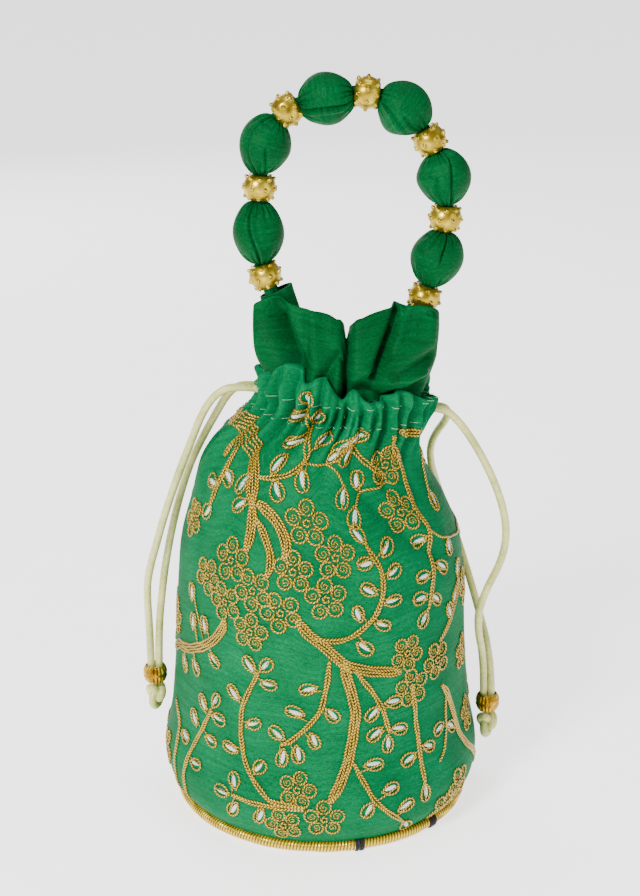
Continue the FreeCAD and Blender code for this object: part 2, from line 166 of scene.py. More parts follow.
def tube(bundle, path, normal, radius, sides=6, plies=0, pitch=1.5, ridge=0.0, flat=1.0, closed=False,
         hand=1):
    """A tube along a path, flattened along normal, with the spiral ridges of a twisted thread."""
    path = np.asarray(path, float)
    ahead = np.roll(path, -1, 0) - np.roll(path, 1, 0) if closed else np.gradient(path, axis=0)
    ahead = unit(ahead)
    side = unit(np.cross(ahead, normal))
    up = np.cross(side, ahead)
    run = np.concatenate([[0], np.cumsum(np.linalg.norm(np.diff(path, axis=0), axis=1))])
    turn = round_turn(sides)
    r = np.full((len(path), sides), float(radius))
    if plies:
        r = r * (1 + ridge * np.cos(plies * turn[None] - hand * 2 * math.pi * run[:, None] / pitch))
    if not closed:
        r[0] *= 0.15
        r[-1] *= 0.15
    ring = np.cos(turn)[None, :, None] * side[:, None] + flat * np.sin(turn)[None, :, None] * up[:, None]
    points = path[:, None] + r[..., None] * ring
    along = np.concatenate([run, [run[-1] + np.linalg.norm(path[0] - path[-1])]]) if closed else run
    bundle.grid(points, along, hand * np.linspace(0, 1, sides + 1), closed_u=closed, closed_v=True)


def hermite(x, xs, ys):
    """A smooth curve through the stations (xs, ys), read at x."""
    xs, ys = np.asarray(xs, float), np.asarray(ys, float)
    slope = np.gradient(ys, xs)
    i = np.clip(np.searchsorted(xs, x) - 1, 0, len(xs) - 2)
    h = xs[i + 1] - xs[i]
    t = np.clip((x - xs[i]) / h, 0, 1)
    return ((2 * t ** 3 - 3 * t ** 2 + 1) * ys[i] + (t ** 3 - 2 * t ** 2 + t) * h * slope[i]
            + (3 * t ** 2 - 2 * t ** 3) * ys[i + 1] + (t ** 3 - t ** 2) * h * slope[i + 1])


def wrap(angle):
    return (angle + math.pi) % (2 * math.pi) - math.pi


def stroke(a, b, points, width, depth):
    """A soft groove or ridge drawn along a polyline on a flat map, read at (a, b)."""
    best = np.full(np.broadcast(a, b).shape, 1e9)
    for (x0, y0), (x1, y1) in zip(points, points[1:]):
        dx, dy = x1 - x0, y1 - y0
        t = np.clip(((a - x0) * dx + (b - y0) * dy) / (dx * dx + dy * dy), 0, 1)
        best = np.minimum(best, np.hypot(a - x0 - t * dx, b - y0 - t * dy))
    return depth * np.exp(-(best / width) ** 1.6)


def thicken(made, thickness):
    """Gives the cloth its thickness (mm), inwards."""
    made.modifiers.new("thickness", "SOLIDIFY").thickness = thickness * MM


def piece_on(made, body, slot, *nodes):
    """Puts a finished piece on its body and hides the CAD nodes that it stands for; slot is not used."""
    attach(made, body)
    if nodes:
        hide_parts(*nodes)
    return made


# ---- materials
class Nodes:
    """A Principled material built node by node."""

    def __init__(self, name, roughness=0.6, metallic=0.0, **inputs):
        self.material = bpy.data.materials.new(name)
        self.material.use_nodes = True
        self.tree = self.material.node_tree
        self.shader = self.tree.nodes["Principled BSDF"]
        self.shader.inputs["Roughness"].default_value = roughness
        self.shader.inputs["Metallic"].default_value = metallic
        for key, value in inputs.items():
            self.shader.inputs[key.replace("_", " ")].default_value = value
        self.where = self.add("ShaderNodeTexCoord")

    def add(self, kind, **settings):
        node = self.tree.nodes.new(kind)
        for key, value in settings.items():
            setattr(node, key, value)
        return node

    def link(self, start, end):
        self.tree.links.new(start, end)

    def noise(self, scale, detail, rough, source="Object"):
        """Noise scaled by axis, on the object's own coordinates or on the cloth's (UV, in mm)."""
        mapping, node = self.add("ShaderNodeMapping"), self.add("ShaderNodeTexNoise")
        mapping.inputs["Scale"].default_value = scale
        self.link(self.where.outputs[source], mapping.inputs["Vector"])
        node.inputs["Scale"].default_value = 1.0
        node.inputs["Detail"].default_value = detail
        node.inputs["Roughness"].default_value = rough
        self.link(mapping.outputs["Vector"], node.inputs["Vector"])
        return node.outputs["Fac"]

    def math(self, operation, *values):
        node = self.add("ShaderNodeMath", operation=operation)
        for socket, value in zip(node.inputs, values):
            if isinstance(value, (int, float)):
                socket.default_value = value
            else:
                self.link(value, socket)
        return node.outputs[0]

    def weighted(self, *pairs):
        """The sum of some sockets, each times its weight."""
        parts = [self.math("MULTIPLY", socket, weight) for socket, weight in pairs]
        total = parts[0]
        for part in parts[1:]:
            total = self.math("ADD", total, part)
        return total

    def ramp(self, factor, *stops):
        node = self.add("ShaderNodeValToRGB")
        while len(node.color_ramp.elements) < len(stops):
            node.color_ramp.elements.new(0.5)
        for element, (place, colour) in zip(node.color_ramp.elements, stops):
            element.position = place
            element.color = (*colour, 1.0)
        self.link(factor, node.inputs["Fac"])
        return node.outputs["Color"]

    def colour(self, socket):
        self.link(socket, self.shader.inputs["Base Color"])

    def bump(self, height, strength, distance, below=None):
        node = self.add("ShaderNodeBump")
        node.inputs["Strength"].default_value = strength
        node.inputs["Distance"].default_value = distance
        self.link(height, node.inputs["Height"])
        if below is not None:
            self.link(below, node.inputs["Normal"])
        self.link(node.outputs["Normal"], self.shader.inputs["Normal"])
        return node.outputs["Normal"]


def silk(name, dark, mid, light, weave=1.0, rough=0.62):
    """Dupion silk: fine threads both ways, uneven slubs across and a cloudy tone."""
    made = Nodes(name, rough, 0.0, Specular_IOR_Level=0.04)
    across = made.noise((0.55 * weave, 3.0 * weave, 1.0), 4.0, 0.65, "UV")
    down = made.noise((3.0 * weave, 0.7 * weave, 1.0), 4.0, 0.65, "UV")
    threads = made.weighted((across, 0.56), (down, 0.44))
    slubs = made.noise((0.05, 0.75, 1.0), 2.0, 0.5, "UV")
    cloudy = made.noise((0.045, 0.045, 1.0), 2.0, 0.5, "UV")
    tone = made.weighted((threads, 0.66), (slubs, 0.16), (cloudy, 0.18))
    made.colour(made.ramp(tone, (0.40, dark), (0.5, mid), (0.61, light)))
    soft = made.bump(slubs, 0.35, 0.0007)
    made.bump(threads, 0.55, 0.00022, soft)
    return made.material


def zari(name, dark, mid, light, metallic=0.45, rough=0.42):
    """Twisted metal thread: spiral strands, painted shade in the grooves, painted highlights and glints."""
    made = Nodes(name, rough, metallic, Specular_IOR_Level=0.5)
    slanted = made.add("ShaderNodeSeparateXYZ")
    made.link(made.where.outputs["UV"], slanted.inputs[0])
    # Strand stripes: the dark end is painted shade between the strands, the light end a painted highlight
    # on them.
    turn = made.weighted((slanted.outputs[0], 0.72), (slanted.outputs[1], -2.0))
    strand = made.math("MULTIPLY_ADD", made.math("SINE", made.math("MULTIPLY", turn, 6.2832)), 0.5, 0.5)
    # Fine flecks of painted glints.
    painted_glints = made.noise((1400, 1400, 1400), 3.0, 0.6)
    tone = made.weighted((strand, 0.62), (painted_glints, 0.38))
    made.colour(made.ramp(tone, (0.12, dark), (0.45, mid), (0.85, light)))
    made.bump(tone, 0.6, 0.00025)
    return made.material


def satin_cord(name, dark, light):
    """Smooth satin cord: very fine filaments along it and a soft shine."""
    made = Nodes(name, 0.34, 0.0, Specular_IOR_Level=0.6, Sheen_Weight=0.15, Sheen_Roughness=0.4)
    fine = made.noise((900, 900, 900), 4.0, 0.65)
    cloudy = made.noise((90, 90, 90), 2.0, 0.5)
    tone = made.weighted((fine, 0.45), (cloudy, 0.55))
    made.colour(made.ramp(tone, (0.35, dark), (0.62, light)))
    made.bump(fine, 0.3, 0.0002)
    return made.material


def metal(name, dark, mid, light, rough=0.3):
    """Brushed gold plating with a cloudy tone and finely uneven roughness."""
    made = Nodes(name, rough, 0.9)
    cloudy = made.noise((260, 260, 260), 4.0, 0.6)
    fine = made.noise((1500, 1500, 1500), 2.0, 0.5)
    made.colour(made.ramp(cloudy, (0.3, dark), (0.5, mid), (0.7, light)))
    made.link(made.math("MULTIPLY_ADD", fine, 0.16, rough - 0.06), made.shader.inputs["Roughness"])
    made.bump(fine, 0.12, 0.0001)
    return made.material


def plain_thread(name, dark, light):
    """Dull cotton thread."""
    made = Nodes(name, 0.7, 0.0, Specular_IOR_Level=0.3)
    fine = made.noise((1200, 1200, 1200), 3.0, 0.6)
    made.colour(made.ramp(fine, (0.35, dark), (0.65, light)))
    made.bump(fine, 0.4, 0.0002)
    return made.material


def card():
    """Grey-brown board: mottled fibres and a faint ply."""
    made = Nodes("grey_board", 0.85, 0.0)
    fibre = made.noise((120, 500, 500), 5.0, 0.65)
    made.colour(made.ramp(fibre, (0.3, (0.20, 0.15, 0.10)), (0.7, (0.36, 0.28, 0.20))))
    made.bump(fibre, 0.3, 0.0003)
    return made.material


BODY_SILK = silk("green_silk", (0.0, 0.070, 0.020), (0.0, 0.122, 0.038), (0.0, 0.190, 0.068))
DARK_SILK = silk("dark_green_silk", (0.0, 0.032, 0.006), (0.0, 0.064, 0.014), (0.0, 0.112, 0.030), 1.1, 0.5)
LINING = silk("lining_cotton", (0.002, 0.06, 0.02), (0.004, 0.09, 0.03), (0.006, 0.12, 0.045), 1.4, 0.85)
# Zari: dark is the painted shade in the grooves, light the painted highlight on the strands.
GOLD_THREAD = zari("gold_zari", (0.022, 0.009, 0.0), (0.215, 0.115, 0.003), (0.80, 0.56, 0.045), 0.55, 0.36)
GOLD_BRAID = zari("gold_braid", (0.070, 0.034, 0.0), (0.42, 0.255, 0.004), (0.95, 0.68, 0.05), 0.6, 0.34)
SILVER = zari("silver_zari", (0.30, 0.37, 0.30), (0.56, 0.62, 0.53), (0.88, 0.92, 0.84), 0.1, 0.4)
CORD = satin_cord("cream_satin", (0.36, 0.39, 0.085), (0.72, 0.70, 0.26))
BEAD_GOLD = metal("bead_gold", (0.19, 0.120, 0.005), (0.41, 0.285, 0.018), (0.66, 0.49, 0.055))
RIBBED_GOLD = metal("ribbed_gold", (0.15, 0.065, 0.001), (0.38, 0.20, 0.006), (0.72, 0.45, 0.03), 0.34)
BLACK = plain_thread("black_thread", (0.004, 0.004, 0.005), (0.03, 0.03, 0.032))
PALE = plain_thread("pale_thread", (0.12, 0.42, 0.20), (0.36, 0.66, 0.38))


# ---- floor
def make_floor():
    """A pale sheet that reaches past the view."""
    made = Nodes("floor_paper", 0.9, 0.0, Specular_IOR_Level=0.1)
    fine = made.noise((40, 40, 40), 2.0, 0.5)
    made.colour(made.ramp(fine, (0.3, (0.90, 0.90, 0.90)), (0.7, (0.93, 0.93, 0.93))))
    made.shader.inputs["Emission Color"].default_value = (1.0, 1.0, 1.0, 1.0)
    made.shader.inputs["Emission Strength"].default_value = 1.75
    mesh = bpy.data.meshes.new("floor")
    half = 30.0
    corners = [(-half, -half, 0), (half, -half, 0), (half, half, 0), (-half, half, 0)]
    mesh.from_pydata(corners, [], [(0, 1, 2, 3)])
    mesh.materials.append(made.material)
    floor = bpy.data.objects.new("floor", mesh)
    bpy.context.collection.objects.link(floor)


make_floor()

# ---- cords
CORD_DIAMETER = 3.2
CASING_HEIGHT = 174.0
NECK = Matrix.Translation((8.5, 0.0, CASING_HEIGHT)) @ Matrix.Rotation(math.radians(4.0), 4, "Y")
NECK_ROTATION = np.array(NECK.to_3x3())
NECK_MIDDLE = np.array(NECK.translation)
EXIT_CURVE = [(30.9, 5.5), (33.2, 2.9), (35.2, 1.75), (36.8, 1.75)]
CORD_LEVEL = 1.8
TOGGLES = {"left": (-70.4, 0.0, 51.0), "right": (70.8, 0.0, 37.5)}
STRAND_GAP, STRAIGHT_ABOVE, BELOW_BEAD = 1.65, 17.5, 4.7
ROUTES = {
    ("left", "front"): [
        (-32.8, -1.75, 178.7), (-38.8, -1.9, 178.2), (-44.4, -2.1, 173.6), (-48.8, -2.3, 166.0),
        (-52.4, -2.5, 156.4), (-56.9, -2.6, 145.4), (-61.0, -2.5, 133.6), (-64.8, -2.5, 122.2),
        (-68.0, -2.4, 110.8), (-70.8, -2.2, 101.2), (-72.8, -2.0, 90.6)],
    ("left", "rear"): [
        (-31.8, 1.75, 178.62), (-35.2, 2.0, 177.0), (-38.8, 2.6, 173.0), (-43.0, 3.4, 165.4),
        (-48.6, 4.2, 155.0), (-53.8, 4.6, 143.8), (-57.6, 4.3, 132.2), (-60.8, 3.8, 120.4),
        (-63.6, 3.4, 107.4), (-66.2, 3.0, 92.0)],
    ("right", "front"): [
        (49.3, -1.75, 169.35), (53.4, -2.2, 166.3), (58.6, -3.0, 160.2), (64.6, -4.2, 150.6),
        (70.2, -5.4, 139.4), (74.2, -6.4, 128.0), (75.9, -7.2, 116.2), (73.6, -8.0, 104.6),
        (67.8, -9.6, 93.6), (64.0, -9.0, 79.5)],
    ("right", "rear"): [
        (48.8, 1.75, 169.38), (50.8, 2.9, 167.6), (51.4, 5.0, 164.6), (50.2, 8.8, 160.2),
        (47.8, 14.6, 154.4), (45.6, 21.0, 146.6), (45.8, 26.8, 136.6), (49.0, 30.0, 125.4),
        (53.0, 30.0, 114.4), (57.4, 25.4, 104.0), (61.0, 18.6, 93.8), (65.6, 10.0, 80.0)],
}


def in_neck(x, y, z):
    return tuple(NECK @ Vector((x, y, z)))


def cord_curve(name, points):
    """One open NURBS line with the route's points (mm) as its control points."""
    data = bpy.data.curves.new(name, "CURVE")
    data.dimensions = "3D"
    data.bevel_depth = CORD_DIAMETER / 2 * MM
    data.bevel_resolution = 6
    data.resolution_u = 16
    data.use_fill_caps = True
    spline = data.splines.new("NURBS")
    spline.points.add(len(points) - 1)
    for point, place in zip(spline.points, points):
        point.co = (*(value * MM for value in place), 1.0)
    spline.order_u = 3
    spline.use_endpoint_u = True
    data.materials.append(CORD)
    made = bpy.data.objects.new(name, data)
    bpy.context.collection.objects.link(made)
    return made


def hidden_run(side, sign):
    """The cord's stretch round the neck inside the casing, out to the exit at both ends."""
    level, around = -sign * CORD_LEVEL, []
    for step in range(27):
        angle = math.radians(24 + 312 * step / 26)
        around.append(in_neck(sign * 28.6 * math.cos(angle), 20.2 * math.sin(angle), level))
    out = [in_neck(sign * x, y, level) for x, y in EXIT_CURVE]
    back = [in_neck(sign * x, -y, level) for x, y in EXIT_CURVE]
    piece_on(cord_curve(f"casing_cord_{side}", out[::-1] + around + back), "sack", "satin_cord",
             f"{side}_cord_run")


def knot(side, middle):
    """The pull's end: one tight overhand knot of the same satin cord."""
    t = round_turn(120)
    x = np.sin(t) + 2 * np.sin(2 * t)
    y = np.cos(t) - 2 * np.cos(2 * t)
    path = np.stack([x * 0.98, -np.sin(3 * t) * 1.95, y * 1.72], 1)
    path = path - (path.max(0) + path.min(0)) / 2
    path = path + np.array(middle) - np.array((0, 0, BELOW_BEAD + 6.4))
    bundle = Bundle()
    tube(bundle, path, np.array((0.0, 1.0, 0.0)) + 0 * path, 1.75, 14, closed=True)
    return piece_on(bundle.piece(f"pull_knot_{side}", CORD), f"{side}_pull", "satin_cord",
                    f"{side}_end_knot")


def ribbed_bead(side, middle):
    """A double-cone gold bead with cut ribs and a plain band at its waist, open through its middle."""
    turns, ribs = 144, 18
    turn, rise = round_turn(turns), np.linspace(-1, 1, 33)
    outline = 3.95 + 1.25 * (1 - np.abs(rise))
    cut = np.clip(np.minimum(1 - np.abs(rise), np.abs(rise) - 0.1) * 6, 0, 1)
    rib = 0.50 * np.abs(np.cos(ribs / 2 * turn))[:, None] * cut[None]
    radius = outline[None] - 0.25 + rib
    lip = np.array([3.8, 3.66, 3.6]) * np.ones((turns, 1))
    radius = np.concatenate([radius, lip, np.full((turns, 7), 3.6), lip[:, ::-1]], 1)
    rim = np.array([3.72, 3.66, 3.5])
    height = np.concatenate([3.7 * rise, rim, np.linspace(1, -1, 7) * 3.4, -rim[::-1]])
    points = spun(turn, radius, height) + np.array(middle)
    bundle = Bundle()
    bundle.grid(points, np.arange(turns + 1) / 5, np.arange(len(height) + 1) / 5, closed_v=True)
    return piece_on(bundle.piece(f"ribbed_bead_{side}", RIBBED_GOLD), f"{side}_pull_bead", "gold_bead",
                    f"{side}_drawstring_bead")


def make_pull(side, sign):
    """One pull: its knot, its ribbed bead and the two tails of cord above them."""
    toggle = TOGGLES[side]
    end_knot, bead = knot(side, toggle), ribbed_bead(side, toggle)
    for strand, across in (("front", -1), ("rear", 1)):
        start = in_neck(sign * EXIT_CURVE[-1][0], across * EXIT_CURVE[-1][1], -sign * CORD_LEVEL)
        x, y, z = toggle[0] + across * STRAND_GAP, toggle[1], toggle[2]
        route = [start] + ROUTES[side, strand] + [(x, y, z + STRAIGHT_ABOVE), (x, y, z - BELOW_BEAD)]
        made = cord_curve(f"pull_cord_{side}_{strand}", route)
        piece_on(made, f"{side}_pull", "satin_cord", f"{side}_tail_{strand}")


for side, sign in (("left", -1), ("right", 1)):
    hidden_run(side, sign)
    make_pull(side, sign)

# ---- the wall's shape
# The outline's height, half-width, half-depth, sideways shift and tilt in degrees.
STATIONS = np.array([
    (3.6, 58.6, 58.6, 0.0, 0.0), (6.5, 61.2, 61.2, 0.0, 0.0), (10, 63.8, 63.8, 0.0, 0.0),
    (18, 65.9, 65.9, 0.0, 0.0), (40, 62.8, 62.8, 0.0, 0.0), (70, 60.6, 60.6, 0.0, 0.0),
    (98, 59.0, 59.0, 0.0, 0.0), (116, 57.0, 56.4, -0.4, 0.0), (132, 51.8, 49.6, -1.4, 0.4),
    (148, 45.2, 39.6, -3.2, 1.4), (158, 40.6, 32.6, -0.6, 2.6), (167, 36.4, 27.8, 5.6, 4.0),
    (174, 34.6, 26.0, 8.5, 4.0), (181, 35.0, 27.2, 9.2, 4.0), (186, 34.9, 27.8, 9.6, 4.0),
    (193, 34.6, 27.6, 10.0, 4.0)])
# Gathers in the neck: heading in degrees, lean per 10 mm down, depth, width, height where it fades out.
FRONT_PLEATS = [
    (-62, -1.5, 3.2, 2.4, 136), (-50, -2.0, 1.8, 1.6, 148), (-37, -2.2, 3.0, 2.0, 134),
    (-26, -1.6, 2.4, 1.5, 144), (-17.5, -1.6, 2.8, 1.6, 140), (-10, -1.2, 1.6, 1.2, 152),
    (-4.6, -0.5, 3.8, 1.5, 146), (1.8, 1.0, 4.6, 1.5, 150), (7.5, 2.2, 2.0, 1.3, 154),
    (13, 3.6, 3.0, 1.6, 140), (22, 2.2, 1.8, 1.6, 150), (31, 3.2, 3.4, 2.2, 134),
    (42, 2.6, 2.2, 1.6, 146), (54, 1.6, 3.4, 2.2, 136), (66, 0.6, 2.4, 1.6, 142),
]
# The green cloth's top edge above the casing: heading in degrees and height before the tilt.
PUFFS = np.array([
    (-180, 181), (-166, 185), (-150, 181), (-134, 186), (-118, 181.5), (-104, 181), (-90, 178),
    (-78, 179.5), (-66, 184.5), (-54, 187), (-45, 191), (-35, 190.5), (-27, 185.0), (-19, 188.0),
    (-11, 186.6), (-6, 182.2), (-1, 180.4), (2, 183.8), (6, 184.6), (12, 180.6), (20, 179.4), (28, 180.6),
    (36, 183.4), (44, 182.8), (52, 181.0), (62, 178.0), (74, 177.0), (86, 177.0), (98, 178.5), (112, 184),
    (128, 180.5), (144, 185), (160, 181), (172, 184), (180, 181)])


def seeded_pleats():
    chance = random.Random(11)
    pleats, heading = list(FRONT_PLEATS), 76.0
    while heading < 290.0:
        depth = chance.choice((1.8, 2.4, 3.2, 3.8))
        lean, faded = chance.uniform(-1.6, 1.6), chance.uniform(130, 150)
        pleats.append((heading, lean, depth, 1.1 + 0.35 * depth, faded))
        heading += chance.uniform(7.0, 13.0)
    return pleats


PLEATS = seeded_pleats()
GATHERED = 172.0


def relief(phi, b):
    """How far the cloth stands out from its plain outline (mm) at heading phi (radians) and height b."""
    base = np.clip((b - 8) / 30, 0, 1)
    out = base * (0.55 * np.sin(3 * phi + 0.6 + 0.014 * b) + 0.45 * np.sin(5 * phi - 1.1 - 0.02 * b)
                  + 0.22 * np.sin(0.11 * b + 2 * phi) * np.sin(4 * phi + 0.5))
    slack = np.clip(np.cos(phi - 0.2), 0, 1) ** 2 * np.exp(-((b - 72) / 26) ** 2)
    out = out + 0.30 * base * np.sin(0.42 * b + 1.6 * np.sin(2 * phi)) * slack
    above, below = np.clip((b - CASING_HEIGHT) / 10, 0, 1), GATHERED - b
    for heading, lean, depth, width, faded in PLEATS:
        fade = np.clip((b - faded) / (GATHERED - faded), 0, 1) ** 1.15
        centre = math.radians(heading) + math.radians(lean) * np.clip(below, -14, 60) / 10
        wide = width * (0.76 + np.clip(below, 0, 60) / 17) * (1 + 0.5 * above)
        reach = wrap(phi - centre) * (36 + 0.5 * np.clip(below, 0, 50))
        out = out - 1.25 * depth * fade * (1 - 0.25 * above) * np.exp(-np.abs(reach / wide) ** 1.35)
        out = out + 0.42 * depth * fade * np.exp(-((np.abs(reach) - 2.1 * wide) / (1.1 * wide)) ** 2)
    rise = np.clip((b - 175) / 12, 0, 1)
    out = out + 1.7 * np.sin(math.pi * rise) * (0.75 + 0.4 * np.sin(6 * phi + 0.8))
    near_neck = np.clip((b - 138) / 25, 0, 1)
    out = out + near_neck * (0.32 * np.sin(17 * phi + 0.31 * b) + 0.26 * np.sin(29 * phi - 0.23 * b + 1)
                             + 0.22 * np.sin(11 * phi + 0.55 * b + 2))
    a = 60 * phi
    out = out - stroke(a, b, [(26, 146), (36, 136), (47, 126), (58, 118)], 3.4, 1.8)
    out = out + stroke(a, b, [(34, 150), (44, 139), (56, 129), (66, 124)], 4.5, 1.3)
    out = out - stroke(a, b, [(-46, 158), (-56, 140), (-63, 122)], 4.0, 1.0)
    return out


def wall(phi, b, inset=0.0, lift=0.0):
    """Points (mm) on the cloth at heading phi and height b, moved in by inset and up by lift."""
    phi, b = np.broadcast_arrays(np.asarray(phi, float), np.asarray(b, float))
    wide, deep, shift, tilt = (hermite(b, STATIONS[:, 0], STATIONS[:, k]) for k in (1, 2, 3, 4))
    out = relief(phi, b) - inset
    x, y = (wide + out) * np.sin(phi), -(deep + out) * np.cos(phi)
    tilt = np.radians(tilt)
    across = x * np.cos(tilt) + lift * np.sin(tilt) + shift
    return np.stack([across, y, b - x * np.sin(tilt) + lift * np.cos(tilt)], -1)


def wall_normal(phi, b):
    step = 0.008
    across = wall(phi + step, b) - wall(phi - step, b)
    up = wall(phi, b + 0.4) - wall(phi, b - 0.4)
    return unit(np.cross(across, up))


def make_wall():
    """The outer cloth from the piping to the puffed casing, its rim rolled inwards."""
    columns, rows, foot = 640, 190, STATIONS[0, 0]
    phi = round_turn(columns, -math.pi)
    top = hermite(np.degrees(phi), PUFFS[:, 0], PUFFS[:, 1])
    b = foot + (top[:, None] - foot) * np.linspace(0, 1, rows)[None]
    body = wall(phi[:, None] + 0 * b, b)
    roll = np.radians((25, 55, 85, 115, 145, 170))
    rim = [wall(phi, top, 1.5 * (1 - math.cos(angle)), 1.5 * math.sin(angle)) for angle in roll]
    inner = [wall(phi, top - drop, 3.0 + 0.10 * drop) for drop in (3.0, 6.0, 9.0)]
    points = np.concatenate([body, np.stack(rim + inner, 1)], 1)
    across = np.degrees(np.linspace(-math.pi, math.pi, columns + 1)) * math.pi / 3
    height = np.concatenate([np.linspace(foot, 188, rows), 188 + 0.8 * np.arange(1, 10)])
    bundle = Bundle()
    bundle.grid(points, across, height)
    made = piece_on(bundle.piece("embroidered_wall", BODY_SILK), "sack", "silk_green", "outer_shell")
    thicken(made, 0.6)


def make_lining():
    """The lining, which stands off the gathers and turns out over the hidden cord at its top."""
    columns, rows = 320, 70
    phi = round_turn(columns, -math.pi)
    b = np.append(np.linspace(5.2, 178.4, rows - 5), (179.0, 179.4, 179.7, 179.9, 180.0))
    loose = np.clip((b - 158) / 8, 0, 1)
    inset = 1.7 + 7.2 * loose
    inset[-5:] -= (0.5, 1.4, 2.5, 3.6, 4.6)
    points = wall(phi[:, None], b[None], inset[None])
    bundle = Bundle()
    bundle.grid(points, np.linspace(0, 377, columns + 1), b)
    made = piece_on(bundle.piece("lining_bag", LINING), "sack", "lining_cloth", "lining")
    thicken(made, 0.4)


make_wall()
make_lining()


# ---- base
def disc(name, radius, low, high, material, slot, node, wave):
    """A cloth disc with a softly turned edge and a little unevenness."""
    turn = round_turn(160)
    face = [0.02, 0.3, 0.6, 0.85, 0.96]
    edge = [(0.99, low + 0.1), (1.0, (low + high) / 2), (0.99, high - 0.1)]
    profile = [(share, low) for share in face] + edge + [(share, high) for share in face[::-1]]
    share, level = np.array(profile).T
    points = spun(turn, radius * share * np.ones((len(turn), 1)), level)
    points[:, 8:, 2] += wave * (np.sin(5 * turn)[:, None] * np.sin(np.arange(5) * 1.3)[None] - 1)
    bundle = Bundle()
    bundle.grid(points, np.linspace(0, 60, len(turn) + 1), np.linspace(0, 60, len(profile)), flip=True)
    made = piece_on(bundle.piece(name, material), "sack", slot, node)


disc("base_cloth", 57.0, 0.0, 0.7, DARK_SILK, "silk_dark_green", "base_cover", 0.0)
disc("base_lining_cloth", 56.4, 3.5, 4.2, LINING, "lining_cloth", "base_lining", 0.08)
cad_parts["base_board"].data.materials.clear()
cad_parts["base_board"].data.materials.append(card())


# ---- piping and its ties
PIPING_RING, PIPING_LEVEL = 59.4, 2.5
TIE_HEADINGS = (14.7, 48.7)


def make_piping():
    """Gold braid over a cord: close ribs round most of the ring, flatter between the two ties."""
    ribs, per_rib, sides = 314, 6, 16
    count = ribs * per_rib
    turn, around = round_turn(count, -math.pi), round_turn(sides)
    flat = np.clip(1 - np.abs(wrap(turn - math.radians(31.5))) / math.radians(17.0), 0, 1)
    smooth = np.clip(flat * 8, 0, 1)[:, None]
    slant = 0.5 * np.sin(around)[None]
    ridge = np.abs(np.sin(ribs / 2 * turn[:, None] + slant))
    fine = np.abs(np.sin(ribs * turn[:, None] + 2 * around[None]))
    wander = 0.08 * np.sin(13 * turn) + 0.06 * np.sin(29 * turn + 1)
    radius = 2.02 + 0.26 * ridge * (1 - smooth) + (0.16 * fine + 0.1) * smooth + wander[:, None]
    ring = PIPING_RING + radius * np.cos(around)[None]
    height = PIPING_LEVEL + radius * np.sin(around)[None]
    points = np.stack([ring * np.sin(turn)[:, None], -ring * np.cos(turn)[:, None], height], -1)
    points[..., 2] = np.maximum(points[..., 2], 0.06)
    bundle = Bundle()
    bundle.grid(points, np.linspace(0, 392, count + 1), np.linspace(0, 1, sides + 1), closed_v=True,
                flip=True)
    piece_on(bundle.piece("gold_piping", GOLD_BRAID), "sack", "zari_gold", "base_piping_braid",
             "base_piping_core")
    ties = Bundle()
    for heading in TIE_HEADINGS:
        for number in range(5):
            place = math.radians(heading) + (number - 2) * 0.0125
            lean = 0.006 * math.sin(number * 2.1)
            loop = round_turn(30)
            spread = place + lean * np.sin(loop)
            wide = 2.42 + 0.05 * math.sin(number * 3.0)
            ring = PIPING_RING + wide * np.cos(loop)
            level = PIPING_LEVEL + wide * np.sin(loop)
            path = np.stack([ring * np.sin(spread), -ring * np.cos(spread), level], 1)
            path[:, 2] = np.maximum(path[:, 2], 0.3)
            tangent = np.array((math.cos(place), math.sin(place), 0.0))
            tube(ties, path, tangent + 0 * path, 0.42, 6, closed=True)
    piece_on(ties.piece("piping_thread_ties", BLACK), "sack", "black_thread", "piping_ties")


make_piping()

